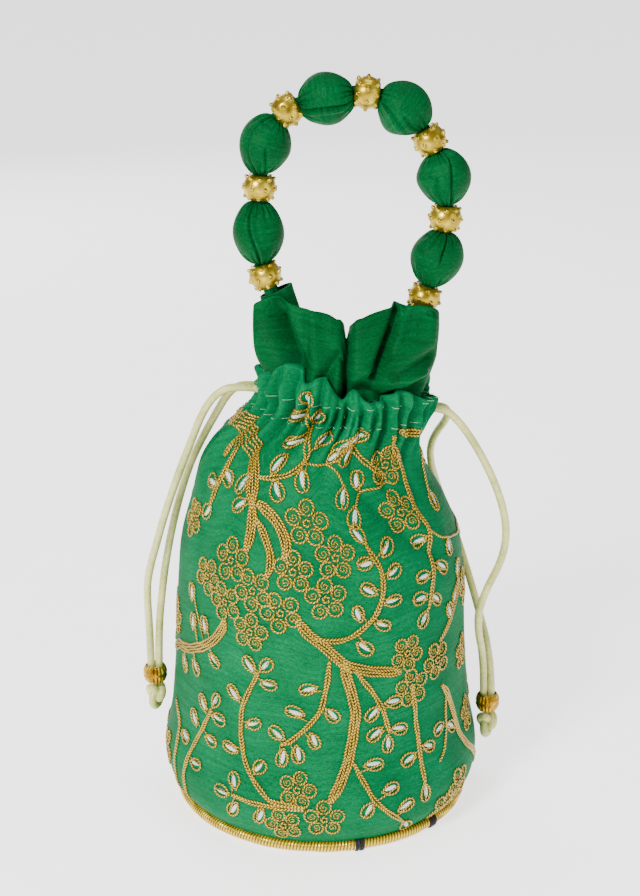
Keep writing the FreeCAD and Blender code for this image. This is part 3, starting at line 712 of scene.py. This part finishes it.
# ---- embroidery
# On the flat map, a runs round the sack from the middle of its front, measured at MAP_RADIUS, and b is the
# height. Couched stems: rows of thread, then points (a, b). Flowers and leaves: their middles.
MAP_RADIUS, HALF_ROUND = 60.0, 188.5
STEMS = [
    (5, [(-92, 162), (-78, 165), (-62, 164), (-48, 160), (-38, 155), (-33, 149), (-31, 142)]),
    (4, [(-29, 143), (-21, 140), (-16, 135), (-14, 130), (-15, 125)]),
    (3, [(-29, 138), (-24, 132), (-21, 126), (-21, 121), (-23, 117)]),
    (4, [(-31, 143), (-31, 136), (-32, 130), (-33, 125)]),
    (2, [(-31, 151), (-20, 152), (-12, 155), (-9, 159), (-14, 164), (-20, 170), (-25, 176)]),
    (1, [(-10, 157), (-7, 157), (1, 157), (9, 156), (14, 152), (17, 149)]),
    (2, [(10, 165), (22, 160), (33, 155), (43, 151)]),
    (1, [(21, 142), (27, 147), (36, 148), (45, 149)]),
    (2, [(40, 167), (55, 153), (54, 137), (56, 130), (55, 121), (53, 112), (48, 99)]),
    (1, [(56, 129), (64, 124), (78, 120), (89, 118)]),
    (1, [(80, 156), (78, 150), (71, 140)]),
    (4, [(-91, 65), (-80, 71), (-69, 74), (-53, 82), (-44, 91), (-42, 97)]),
    (4, [(-10, 103), (-5, 97), (2, 91), (9, 84), (19, 80), (33, 77)]),
    (2, [(-3, 95), (8, 94), (17, 98), (23, 104), (26, 112), (26, 120), (21, 130)]),
    (4, [(8, 85), (11, 74), (13, 64), (12, 53), (9, 39), (3, 26)]),
    (2, [(3, 86), (2, 76), (-1, 64), (-10, 53), (-16, 49)]),
    (2, [(13, 81), (20, 71), (24, 63), (27, 52)]),
    (2, [(38, 70), (39, 55), (40, 43), (41, 26)]),
    (2, [(12, 42), (16, 33), (20, 25), (26, 18), (32, 12)]),
    (2, [(-6, 24), (-17, 25), (-21, 27), (-29, 37), (-32, 49), (-32, 61), (-29, 70), (-25, 79)]),
    (2, [(-6, 23), (-16, 23), (-26, 23), (-35, 24)]),
    (2, [(-62, 9), (-62, 21), (-59, 34), (-53, 46), (-48, 56)]),
    (2, [(-81, 46), (-73, 38), (-71, 22), (-71, 6)]),
    (2, [(-75, 163), (-60, 160), (-54, 156), (-56, 147), (-61, 137)]),
    (2, [(54, 83), (63, 90), (72, 98), (74, 104)]),
    (3, [(55, 64), (60, 57), (64, 48), (70, 33), (82, 20), (94, 7)]),
    (1, [(58, 57), (57, 44), (55, 37), (50, 32)]),
    (3, [(46, 168), (58, 166), (72, 166)]),
]
FLOWERS = [
    (-4, 138), (7, 126), (-11, 121), (2, 111), (-16, 105), (-28, 112), (-29, 95), (-42, 104), (-40, 121),
    (-54, 111), (-9, 31), (1, 19), (-14, 15), (36, 84), (38, 69), (52, 76), (-75, 128), (44, 138),
    (43, 155), (62, 17), (53, 10), (76, 70), (-86, 82), (80, 40), (-84, 22), (84, 96)]
LEAVES = [
    (-22, 164), (-6, 165), (-23, 156), (-19, 148), (-7, 152), (-25, 180), (-30, 173), (-17, 173),
    (7, 160), (15, 146), (8, 164), (15, 166), (14, 160), (19, 139), (24, 151), (91, 118), (68, 119),
    (50, 126), (47, 113), (60, 113), (44, 105), (53, 102), (45, 96), (84, 152), (71, 137), (19, 133),
    (31, 127), (20, 123), (32, 118), (20, 113), (30, 107), (15, 104), (25, 98), (17, 90), (-55, 90),
    (-48, 77), (-61, 69), (-72, 66), (-5, 74), (4, 63), (-10, 64), (-3, 52), (-17, 54), (-15, 44),
    (-9, 46), (20, 62), (29, 65), (21, 53), (26, 48), (31, 53), (45, 41), (35, 39), (41, 23), (20, 40),
    (26, 29), (17, 22), (32, 20), (34, 9), (-29, 81), (-22, 82), (-21, 74), (-36, 67), (-27, 56),
    (-37, 43), (-24, 38), (-34, 30), (-39, 24), (-34, 18), (-23, 18), (-54, 56), (-46, 60), (-44, 53),
    (-48, 42), (-60, 47), (-55, 29), (-66, 36), (-64, 157), (-52, 148), (-62, 145), (-63, 134),
    (-40, 148), (-39, 141), (75, 107), (69, 97), (63, 93), (73, 99), (52, 46), (61, 43), (-66, 100),
    (-64, 88)]


def on_wall(a, b, out, mirror):
    """A point of the flat map on the cloth, out mm above it. The back carries the motif mirrored."""
    a, b = np.asarray(a, float), np.asarray(b, float)
    phi = (HALF_ROUND - a if mirror else a) / MAP_RADIUS
    normal = wall_normal(phi, b)
    return wall(phi, b) + normal * np.asarray(out)[..., None], normal


def narrow(b):
    """How much wider a motif is drawn on the flat map where the sack is thinner than MAP_RADIUS."""
    return MAP_RADIUS / hermite(np.asarray(b, float), STATIONS[:, 0], (STATIONS[:, 1] + STATIONS[:, 2]) / 2)


def couch(bundle, line, radius, mirror, out=0.30, **twist):
    """A thread laid along a line of the flat map."""
    line = np.asarray(line, float)
    path, normal = on_wall(line[:, 0], line[:, 1], np.full(len(line), out), mirror)
    tube(bundle, path, normal, radius, 6, plies=2, pitch=1.5, ridge=0.16, flat=0.8, **twist)


def sideways(line):
    """Steps of 1 mm to the left of a line on the flat map."""
    ahead = unit(np.gradient(line, axis=0))
    return np.stack([-ahead[:, 1], ahead[:, 0]], 1)


def nearest_stem(point, lines):
    """The gap to the nearest stem, its line and the place on it."""
    best = None
    for line in lines:
        gap = np.hypot(*(line - point).T)
        index = int(gap.argmin())
        if best is None or gap[index] < best[0]:
            best = (gap[index], line, index)
    return best


def draw_leaf(gold, silver, centre, lines, mirror, chance):
    """A pointed oval of gold thread round a raised silver satin stitch, its base towards a stem."""
    centre = np.array(centre, float)
    gap, line, index = nearest_stem(centre, lines)
    root = line[index]
    ahead = line[min(index + 3, len(line) - 1)] - line[max(index - 3, 0)]
    away = centre - root
    if gap < 2.2:
        away = ahead if index > len(line) / 2 else -ahead
    heading = unit(away[None])[0]
    lean = 0.45 if gap >= 2.2 else 0.0
    heading = unit((heading + lean * unit(ahead[None])[0])[None])[0]
    side = np.array((-heading[1], heading[0]))
    stretch = np.array((float(narrow(centre[1])), 1.0))
    small = 0.86 if centre[1] > 152 else 1.0
    length, width = 3.9 * small * chance.uniform(0.92, 1.08), 2.35 * small * chance.uniform(0.9, 1.1)
    turn = np.linspace(-math.pi, math.pi, 34)
    run = -np.cos(turn)
    half = np.sin(turn) * (1 + 0.24 * run) * np.clip((run + 1.25) / 0.9, 0, 1)
    outline = centre + (run[:, None] * length * heading + half[:, None] * width * side) * stretch
    loop = np.vstack([root + (outline[0] - root) * np.linspace(0, 0.9, 4)[:, None], outline])
    couch(gold, loop, 0.46, mirror)
    along = np.linspace(-1, 1, 15)[:, None]
    around = np.linspace(0, math.pi, 9)[None]
    fat = np.sqrt(np.clip(1 - along ** 2, 0, 1)) * 0.86 * small
    inside = (along * (length - 1.05))[..., None] * heading + (fat * np.cos(around) + 0.3)[..., None] * side
    flat = centre + inside * stretch
    points, _ = on_wall(flat[..., 0], flat[..., 1], 0.12 + 0.62 * fat * np.sin(around), mirror)
    silver.grid(points, np.linspace(0, 6, 15), np.linspace(0, 1, 9), closed_u=False, flip=mirror)


def draw_flower(gold, centre, mirror, chance):
    """Five ringed petals with a coil in each, round a small knotted eye."""
    centre, stretch = np.array(centre), np.array((float(narrow(centre[1])), 1.0))
    spin = chance.uniform(0, 2 * math.pi)
    grow = chance.uniform(0.93, 1.04)
    for petal in range(5):
        heading = spin + petal * 2 * math.pi / 5 + chance.uniform(-0.08, 0.08)
        middle = np.array((math.cos(heading), math.sin(heading))) * 5.0 * grow
        turn = np.linspace(0, 2 * math.pi, 26) + heading + math.pi
        ring = 2.75 * grow * (1 + 0.10 * np.cos(turn - heading))[:, None]
        couch(gold, centre + (middle + ring * circle(turn)) * stretch, 0.47, mirror)
        coil = np.linspace(0, 2.7 * math.pi, 24)
        inner = (1.7 - 0.52 * coil / math.pi)[:, None]
        couch(gold, centre + (middle + inner * circle(coil + heading)) * stretch, 0.27, mirror, 0.16)
    eye = 1.15 * circle(np.linspace(0, 2 * math.pi, 14))
    couch(gold, centre + eye * stretch, 0.5, mirror, 0.4)


def embroider(face, mirror):
    """All the couched stems, flowers and leaves of one face."""
    chance = random.Random(5 if mirror else 3)
    stems, blooms, satin = Bundle(), Bundle(), Bundle()
    lines = []
    for rows, points in STEMS:
        line = smooth_line(points, 0.6)
        lines.append(line)
        place = np.arange(len(line))
        taper = np.clip(np.minimum(place, place[::-1]) / 12 + 0.35, 0, 1)[:, None]
        width = narrow(line[:, 1])[:, None] ** np.array([[1.0, 0.0]])
        laid = sideways(line)
        for row in range(rows):
            apart = (row - (rows - 1) / 2) * 1.12
            wobble = 0.12 * np.sin(place * 0.37 + 2.1 * row)[:, None]
            couch(stems, line + laid * (apart * taper + wobble) * width, 0.53, mirror, 0.32,
                  hand=1 if row % 2 else -1)
    for centre in FLOWERS:
        draw_flower(blooms, centre, mirror, chance)
    for centre in LEAVES:
        draw_leaf(blooms, satin, centre, lines, mirror, chance)
    piece_on(stems.piece(f"couched_stems_{face}", GOLD_THREAD), "sack", "zari_gold")
    piece_on(blooms.piece(f"couched_flowers_{face}", GOLD_THREAD), "sack", "zari_gold")
    piece_on(satin.piece(f"silver_leaves_{face}", SILVER), "sack", "zari_silver")


for face, mirror in (("front", False), ("back", True)):
    embroider(face, mirror)


def make_stitches():
    """Two rows of running stitch that close the casing, dipping into the gathers."""
    bundle, chance = Bundle(), random.Random(8)
    for level in (-4.2, 4.2):
        heading = -180.0
        while heading < 180.0:
            length = chance.uniform(3.0, 6.0)
            phi = np.radians(np.linspace(heading, heading + length, 9))
            rise = CASING_HEIGHT + level + chance.uniform(-0.4, 0.4) + 0 * phi
            normal = wall_normal(phi, rise)
            depth = 0.18 - 0.5 * np.abs(np.linspace(-1, 1, 9)) ** 6
            path = wall(phi, rise) + normal * depth[:, None]
            tube(bundle, path, normal, 0.11, 5)
            heading += length + chance.choice((2.0, 3.0, 7.0))
    piece_on(bundle.piece("casing_running_stitch", PALE), "sack", "pale_thread", "casing_stitches")


make_stitches()

# ---- ruffled heading
# The rim's height above the casing's middle: heading in degrees and millimetres along the tilted neck.
RIM = np.array([
    (-180, 14), (-168, 17), (-150, 24), (-130, 28), (-110, 30), (-92, 32.5), (-80, 37.0), (-68, 40.0),
    (-56, 41.0), (-44, 40.2), (-30, 39.4), (-18, 38.4), (-9, 36.6), (-4, 34.0), (-1.6, 27.4), (0.2, 32.4),
    (2.5, 35.4), (8, 37.6), (16, 39.8), (25, 41.4), (34, 42.0), (46, 42.4), (58, 41.6), (72, 39.6),
    (90, 35.4), (110, 31), (130, 28), (150, 24), (168, 17), (180, 14)])
# The heading's flare: share of its height, half-width, half-depth to the front and to the back.
FLARE = np.array([(0, 30.8, 22.4, 22.4), (0.25, 34.0, 26.2, 24.6), (0.5, 36.4, 25.0, 22.0),
                  (0.8, 36.9, 19.5, 15.5), (1, 36.2, 15.0, 12.0)])
# Folds in the heading on a map of degrees and share of the height: points, width, depth (inward). Widths
# are in degrees, with the whole height drawn as long as FOLD_MAP of them.
FOLD_MAP = 60.0
RUFFLE_FOLDS = [
    ([(-54, 0.86), (-45, 0.62), (-35, 0.40)], 12.0, 8.0),
    ([(-63, 0.90), (-52, 0.70), (-38, 0.42)], 5.0, 3.5),
    ([(-27, 0.95), (-27, 0.50)], 3.5, 2.0),
    ([(-24, 1.05), (-21, 0.75), (-20, 0.45), (-22, 0.15)], 5.5, -2.6),
    ([(-80, 1.0), (-74, 0.6), (-70, 0.25)], 7.0, -1.8),
    ([(-60, 1.02), (-44, 1.03), (-32, 1.0)], 7.0, -1.6),
    ([(-6, 0.58), (-12, 0.38), (-17, 0.16)], 4.5, 4.6),
    ([(-12, 0.80), (-10, 0.95)], 6.0, -1.4),
    ([(-1.4, 1.05), (-0.6, 0.6), (-0.2, 0.0)], 2.6, 9.0),
    ([(33, 1.05), (24, 0.65), (18, 0.34)], 3.2, 8.0),
    ([(40, 1.0), (31, 0.7)], 4.0, -1.2),
    ([(62, 0.50), (47, 0.40), (35, 0.31)], 4.6, 3.2),
    ([(5, 0.36), (11, 0.42), (18, 0.38), (27, 0.28), (42, 0.29), (55, 0.34)], 4.2, -2.6),
    ([(10, 0.18), (28, 0.07), (46, 0.08), (60, 0.14)], 6.5, 7.0),
    ([(-78, 0.2), (-60, 0.05), (-40, 0.10)], 6.0, 4.0),
    ([(86, 1.0), (80, 0.5), (84, 0.0)], 5.0, 2.4),
    ([(-96, 1.0), (-90, 0.4), (-94, 0.0)], 5.0, 3.0),
]


def back_folds():
    chance = random.Random(21)
    folds, heading = [], 102.0
    while heading < 256.0:
        top = heading + chance.uniform(-8, 8)
        folds.append(([(top, 1.05), ((top + heading) / 2, 0.5), (heading, 0.0)], chance.uniform(3.5, 6.0),
                      chance.uniform(2.5, 5.5)))
        heading += chance.uniform(15, 26)
    folds.append(([(178, 1.05), (180, 0.4), (181, 0.0)], 3.0, 8.0))
    return folds


def ruffle_point(phi, share, inset=0.0):
    """Points on the heading, at phi round the tilted neck and at a share of its height."""
    degrees = np.degrees(phi)
    rim = hermite(degrees, RIM[:, 0], RIM[:, 1])
    rise = 5.0 + (rim - 5.0) * share
    level = np.clip(rise / 40, 0, 1)
    wide, front, back = (hermite(level, FLARE[:, 0], FLARE[:, k]) for k in (1, 2, 3))
    deep = np.where(np.cos(phi) > 0, front, back)
    depth = 0.6 * np.sin(7 * phi + 3 * share) * share
    for points, width, inward in RUFFLE_FOLDS + BACK_FOLDS:
        centre = points[0][0]
        near = centre + (degrees - centre + 180) % 360 - 180
        scaled = [(x, y * FOLD_MAP) for x, y in points]
        depth = depth + stroke(near, share * FOLD_MAP, scaled, width, inward)
    edge = np.interp(degrees, (19, 40, 59), (0.36, 0.70, 0.93))
    within = np.clip((degrees - 16) / 6, 0, 1) * np.clip((74 - degrees) / 12, 0, 1)
    out = 1.9 * within / (1 + np.exp((share - edge) * 70)) - depth - inset
    lean = np.sqrt(np.sin(phi) ** 2 + (np.cos(phi) * wide / deep) ** 2)
    x, y = (wide + out / lean) * np.sin(phi), -(deep + out * wide / deep / lean) * np.cos(phi)
    local = np.stack([x, y, rise], -1)
    return local @ NECK_ROTATION.T + NECK_MIDDLE


BACK_FOLDS = back_folds()


def make_ruffle():
    """The heading, with its rim turned in as a hem."""
    columns, rows = 560, 64
    phi, share = round_turn(columns, -math.pi), np.linspace(0, 1, rows)
    outside = ruffle_point(*np.meshgrid(phi, share, indexing="ij"))
    hem = [ruffle_point(phi, np.full(columns, 1.0 + rise), inset) for rise, inset in
           ((0.012, 0.25), (0.012, 0.75), (0.0, 1.0), (-0.10, 1.05), (-0.22, 1.0))]
    points = np.concatenate([outside, np.stack(hem, 1)], 1)
    bundle = Bundle()
    height = np.concatenate([share * 38, 38 + np.arange(1, 6) * 0.8])
    bundle.grid(points, np.linspace(0, 300, columns + 1), height)
    made = piece_on(bundle.piece("ruffled_heading", DARK_SILK), "sack", "silk_dark_green", "top_ruffle")
    thicken(made, 0.5)


make_ruffle()

# ---- handle
# Middles of the beads (even places) and stuffed balls (odd places), left end first: X and Z.
HANDLE_STATIONS = [
    (-22.2, 224.4), (-24.8, 241.3), (-24.0, 259.5), (-21.9, 276.8), (-13.1, 289.3), (1.8, 293.6),
    (17.3, 295.9), (31.6, 290.1), (41.5, 277.8), (47.5, 263.8), (48.2, 247.4), (45.4, 231.7),
    (40.6, 215.5)]
LEFT_HINGE, RIGHT_HINGE = (-12.5, 210.0), (36.0, 204.0)
BEAD_HALF, BEAD_RADIUS = 4.8, 6.3
PINCHED, FULL = 2.35, 10.35
# Long creases in each ball: heading round it in degrees (0 faces the front), start and end share, depth.
CREASES = [
    [(-14, 0.02, 0.98, 1.2), (40, 0.0, 0.30, 0.8)],
    [(-30, 0.0, 0.92, 0.7), (12, 0.0, 0.55, 0.9), (-2, 0.75, 1.0, 0.7)],
    [(24, 0.0, 0.86, 1.3), (-20, 0.8, 1.0, 0.6)],
    [(30, 0.05, 0.75, 1.0), (8, 0.45, 1.0, 0.7)],
    [(-24, 0.0, 1.0, 1.1), (10, 0.35, 1.0, 0.8), (34, 0.0, 0.4, 0.5)],
    [(-16, 0.0, 0.55, 1.2), (20, 0.0, 0.35, 0.8), (-24, 0.7, 1.0, 0.8)],
]


def handle_line():
    """Each station's middle and the direction of the handle there."""
    line = [LEFT_HINGE] + HANDLE_STATIONS + [RIGHT_HINGE]
    line = np.array([(x, 0.0, z) for x, z in line])
    return [(line[i], unit((line[i + 1] - line[i - 1])[None])[0]) for i in range(1, len(line) - 1)]


LINE = handle_line()
FRONT = np.array((0.0, -1.0, 0.0))


def make_ball(number):
    """One stuffed ball of the silk sleeve, pinched into the bead at each end."""
    (before, ahead_a), (_, _), (after, ahead_b) = LINE[2 * number - 2:2 * number + 1]
    middle = LINE[2 * number - 1][0]
    start, end = before + ahead_a * (BEAD_HALF - 1.4), after - ahead_b * (BEAD_HALF - 1.4)
    bow = middle - (start + end) / 2
    chance = random.Random(40 + number)
    turns, levels = 168, 84
    share = (1 - np.cos(np.linspace(0, math.pi, levels))) / 2
    spine = start + (end - start) * share[:, None] + bow * 4 * (share * (1 - share))[:, None] * 0.8
    ahead = unit(np.gradient(spine, axis=0))
    side = np.cross(ahead, FRONT)
    turn = round_turn(turns)
    inner = np.clip((share - 0.075) / 0.85, 0, 1)
    swell = np.sin(math.pi * inner) ** 0.60
    radius = PINCHED + (FULL - PINCHED) * swell[None] * np.ones((turns, 1))
    radius = radius + 0.28 * np.sin(2 * turn + number)[:, None] * swell[None]
    radius = radius + 0.22 * np.sin(3 * turn + 2 * number)[:, None] * np.sin(2 * math.pi * share)[None]
    near_end = np.exp(-((share - 0.09) / 0.12) ** 2) + np.exp(-((share - 0.91) / 0.12) ** 2)
    for pleat in range(17):
        heading = 2 * math.pi * (pleat + chance.uniform(-0.25, 0.25)) / 17
        depth, width = chance.uniform(0.6, 1.5), chance.uniform(0.05, 0.10)
        reach = wrap(turn - heading)[:, None]
        fade = np.exp(-((share - 0.09) / chance.uniform(0.08, 0.20)) ** 2)
        fade = fade + np.exp(-((share - 0.91) / chance.uniform(0.08, 0.20)) ** 2)
        radius = radius - depth * fade[None] * np.exp(-np.abs(reach / width) ** 1.3)
        swelled = np.exp(-((np.abs(reach) - 2.2 * width) / width) ** 2)
        radius = radius + 0.35 * depth * fade[None] * swelled
    for heading, low, high, depth in CREASES[number - 1] + [(150, 0.1, 0.9, 0.9), (215, 0.0, 0.6, 0.8)]:
        centre = math.radians(heading) + 0.22 * np.sin(math.pi * share * 1.3 + number)
        reach = wrap(turn[:, None] - centre[None])
        live = np.clip((share - low) / 0.10, 0, 1) * np.clip((high - share) / 0.10, 0, 1)
        radius = radius - 1.7 * depth * live[None] * np.exp(-np.abs(reach / 0.042) ** 1.1)
        radius = radius + 0.75 * depth * live[None] * np.exp(-((reach - 0.14) / 0.10) ** 2)
    radius = np.maximum(radius, 1.2 + 0.9 * near_end[None])
    ring = np.cos(turn)[:, None, None] * FRONT + np.sin(turn)[:, None, None] * side[None]
    points = spine[None] + radius[..., None] * ring
    bundle = Bundle()
    bundle.grid(points, np.linspace(0, 62, turns + 1), share * 28 + 40 * number, flip=True)
    made = bundle.piece(f"stuffed_ball_{number}", DARK_SILK)
    nodes = [f"handle_filler_{number}"] + (["handle_sleeve"] if number == 1 else [])
    piece_on(made, "handle", "silk_dark_green", *nodes)


def make_bead(number):
    """A plated bead with three staggered rings of studs, each on a little washer, and a moulding seam."""
    middle, axis = LINE[2 * number - 2]
    turn = round_turn(144)
    edge = math.asin(BEAD_HALF / BEAD_RADIUS)
    rise = np.linspace(-edge, edge, 49)
    seam = 0.13 * np.exp(-(wrap(2 * (turn - 0.9)) / 0.07) ** 2)
    radius = (BEAD_RADIUS + seam)[:, None] * np.cos(rise)[None]
    lip = np.array([(3.15, 4.86), (2.95, 4.8), (2.85, 4.5), (2.85, 0.0), (2.85, -4.5), (2.95, -4.8),
                    (3.15, -4.86)])
    radius = np.concatenate([radius, lip[:, 0] * np.ones((len(turn), 1))], 1)
    height = np.concatenate([BEAD_RADIUS * np.sin(rise), lip[:, 1]])
    bundle = Bundle()
    bundle.grid(spun(turn, radius, height), np.arange(len(turn) + 1) / 4, np.arange(len(height) + 1) / 4,
                closed_v=True)
    around = round_turn(14)
    stud = np.array([(1.02, -0.35), (1.02, 0.05), (0.92, 0.12), (0.80, 0.13), (0.70, 0.28), (0.68, 0.58),
                     (0.58, 0.82), (0.36, 0.98), (0.03, 1.04)])
    for ring, latitude in enumerate((-36, 0, 36)):
        for place in range(8):
            heading, lift = math.radians(45 * place + 22.5 * (ring % 2)), math.radians(latitude)
            level = math.cos(lift)
            out = np.array((math.cos(heading) * level, math.sin(heading) * level, math.sin(lift)))
            side = np.array((-math.sin(heading), math.cos(heading), 0.0))
            up = np.cross(out, side)
            ring_round = np.cos(around)[:, None, None] * side + np.sin(around)[:, None, None] * up
            shape = ring_round * stud[None, :, :1] + out * (BEAD_RADIUS + stud[None, :, 1:])
            bundle.grid(shape, np.arange(15) / 4, np.arange(9) / 4)
    turned = np.array(Vector((0, 0, 1)).rotation_difference(Vector(axis)).to_matrix())
    bundle.verts = [verts @ turned.T + middle for verts in bundle.verts]
    piece_on(bundle.piece(f"studded_bead_{number}", BEAD_GOLD), f"gold_bead_{number}", "gold_bead",
             f"handle_bead_{number}")


def tab_mesh(name, sections, nodes):
    """A flattened fabric tube, open at its top: sections of centre, across, half-width, half-thickness."""
    turn = round_turn(96)
    places = np.linspace(0, len(sections) - 1, 46)
    read = [np.array([section[k] for section in sections], float) for k in range(4)]
    stations = np.arange(len(sections))
    centre = np.stack([hermite(places, stations, read[0][:, k]) for k in range(3)], 1)
    across = unit(np.stack([hermite(places, stations, read[1][:, k]) for k in range(3)], 1))
    wide, thick = hermite(places, stations, read[2]), hermite(places, stations, read[3])
    crease = 0.35 * np.sin(5 * turn)[:, None] * np.sin(places * 1.7)[None]
    rounded = np.sign(np.cos(turn)) * np.abs(np.cos(turn)) ** 0.85
    aside = rounded[:, None] * wide[None]
    forward = np.sin(turn)[:, None] * (thick[None] + crease * np.clip(thick[None] - 0.6, 0, 0.8))
    points = centre[None] + aside[..., None] * across[None] + forward[..., None] * FRONT
    bundle = Bundle()
    bundle.grid(points, np.linspace(0, 34, len(turn) + 1), places * 5)
    made = bundle.piece(name, DARK_SILK)
    thicken(made, 0.6)
    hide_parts(*nodes)
    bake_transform(made)


for number in range(1, 7):
    make_ball(number)
for number in range(1, 8):
    make_bead(number)


def end_neck(side, place, sign):
    """The sleeve's short neck from the last bead into the sewn tab."""
    middle, axis = LINE[place]
    outward = axis * sign
    share = np.linspace(0, 1, 14)
    start, end = middle + outward * (BEAD_HALF - 2.0), middle + outward * (BEAD_HALF + 4.4)
    spine = start + (end - start) * share[:, None]
    turn = round_turn(72)
    radius = 2.3 + 0.9 * share[None] + 0.22 * np.abs(np.sin(5.5 * turn))[:, None]
    ring = np.cos(turn)[:, None, None] * FRONT + np.sin(turn)[:, None, None] * np.cross(outward, FRONT)
    bundle = Bundle()
    bundle.grid(spine[None] + radius[..., None] * ring, np.linspace(0, 18, 73), share * 6)
    made = bundle.piece(f"sleeve_neck_{side}", DARK_SILK)
    thicken(made, 0.5)
    piece_on(made, "handle", "silk_dark_green")


end_neck("left", 0, -1)
end_neck("right", 12, 1)
tab_mesh("sewn_tab_left", [
    ((-13.0, 0.0, 190.5), (1, 0, -0.07), 5.0, 0.9), ((-13.8, 0.0, 199.0), (1, 0, -0.07), 6.2, 1.1),
    ((-15.0, 0.0, 208.0), (1, 0, 0.05), 6.5, 1.6), ((-16.8, 0.0, 214.0), (1, 0, 0.30), 6.4, 2.6),
    ((-18.0, 0.0, 218.4), (1, 0, 0.46), 6.3, 3.3)],
    ["left_handle_tab", "left_tab_anchor"])
tab_mesh("sewn_tab_right", [
    ((34.5, 0.0, 185.0), (1, 0, -0.13), 5.0, 0.9), ((35.4, 0.0, 194.0), (1, 0, -0.2), 6.4, 1.1),
    ((36.4, 0.0, 202.0), (1, 0, -0.35), 6.6, 1.6), ((38.0, 0.0, 207.0), (1, 0, -0.5), 5.6, 2.6),
    ((38.9, 0.0, 209.8), (1, 0, -0.6), 4.9, 3.2)],
    ["right_handle_tab", "right_tab_anchor"])

# ---- finish
bpy.context.view_layer.update()
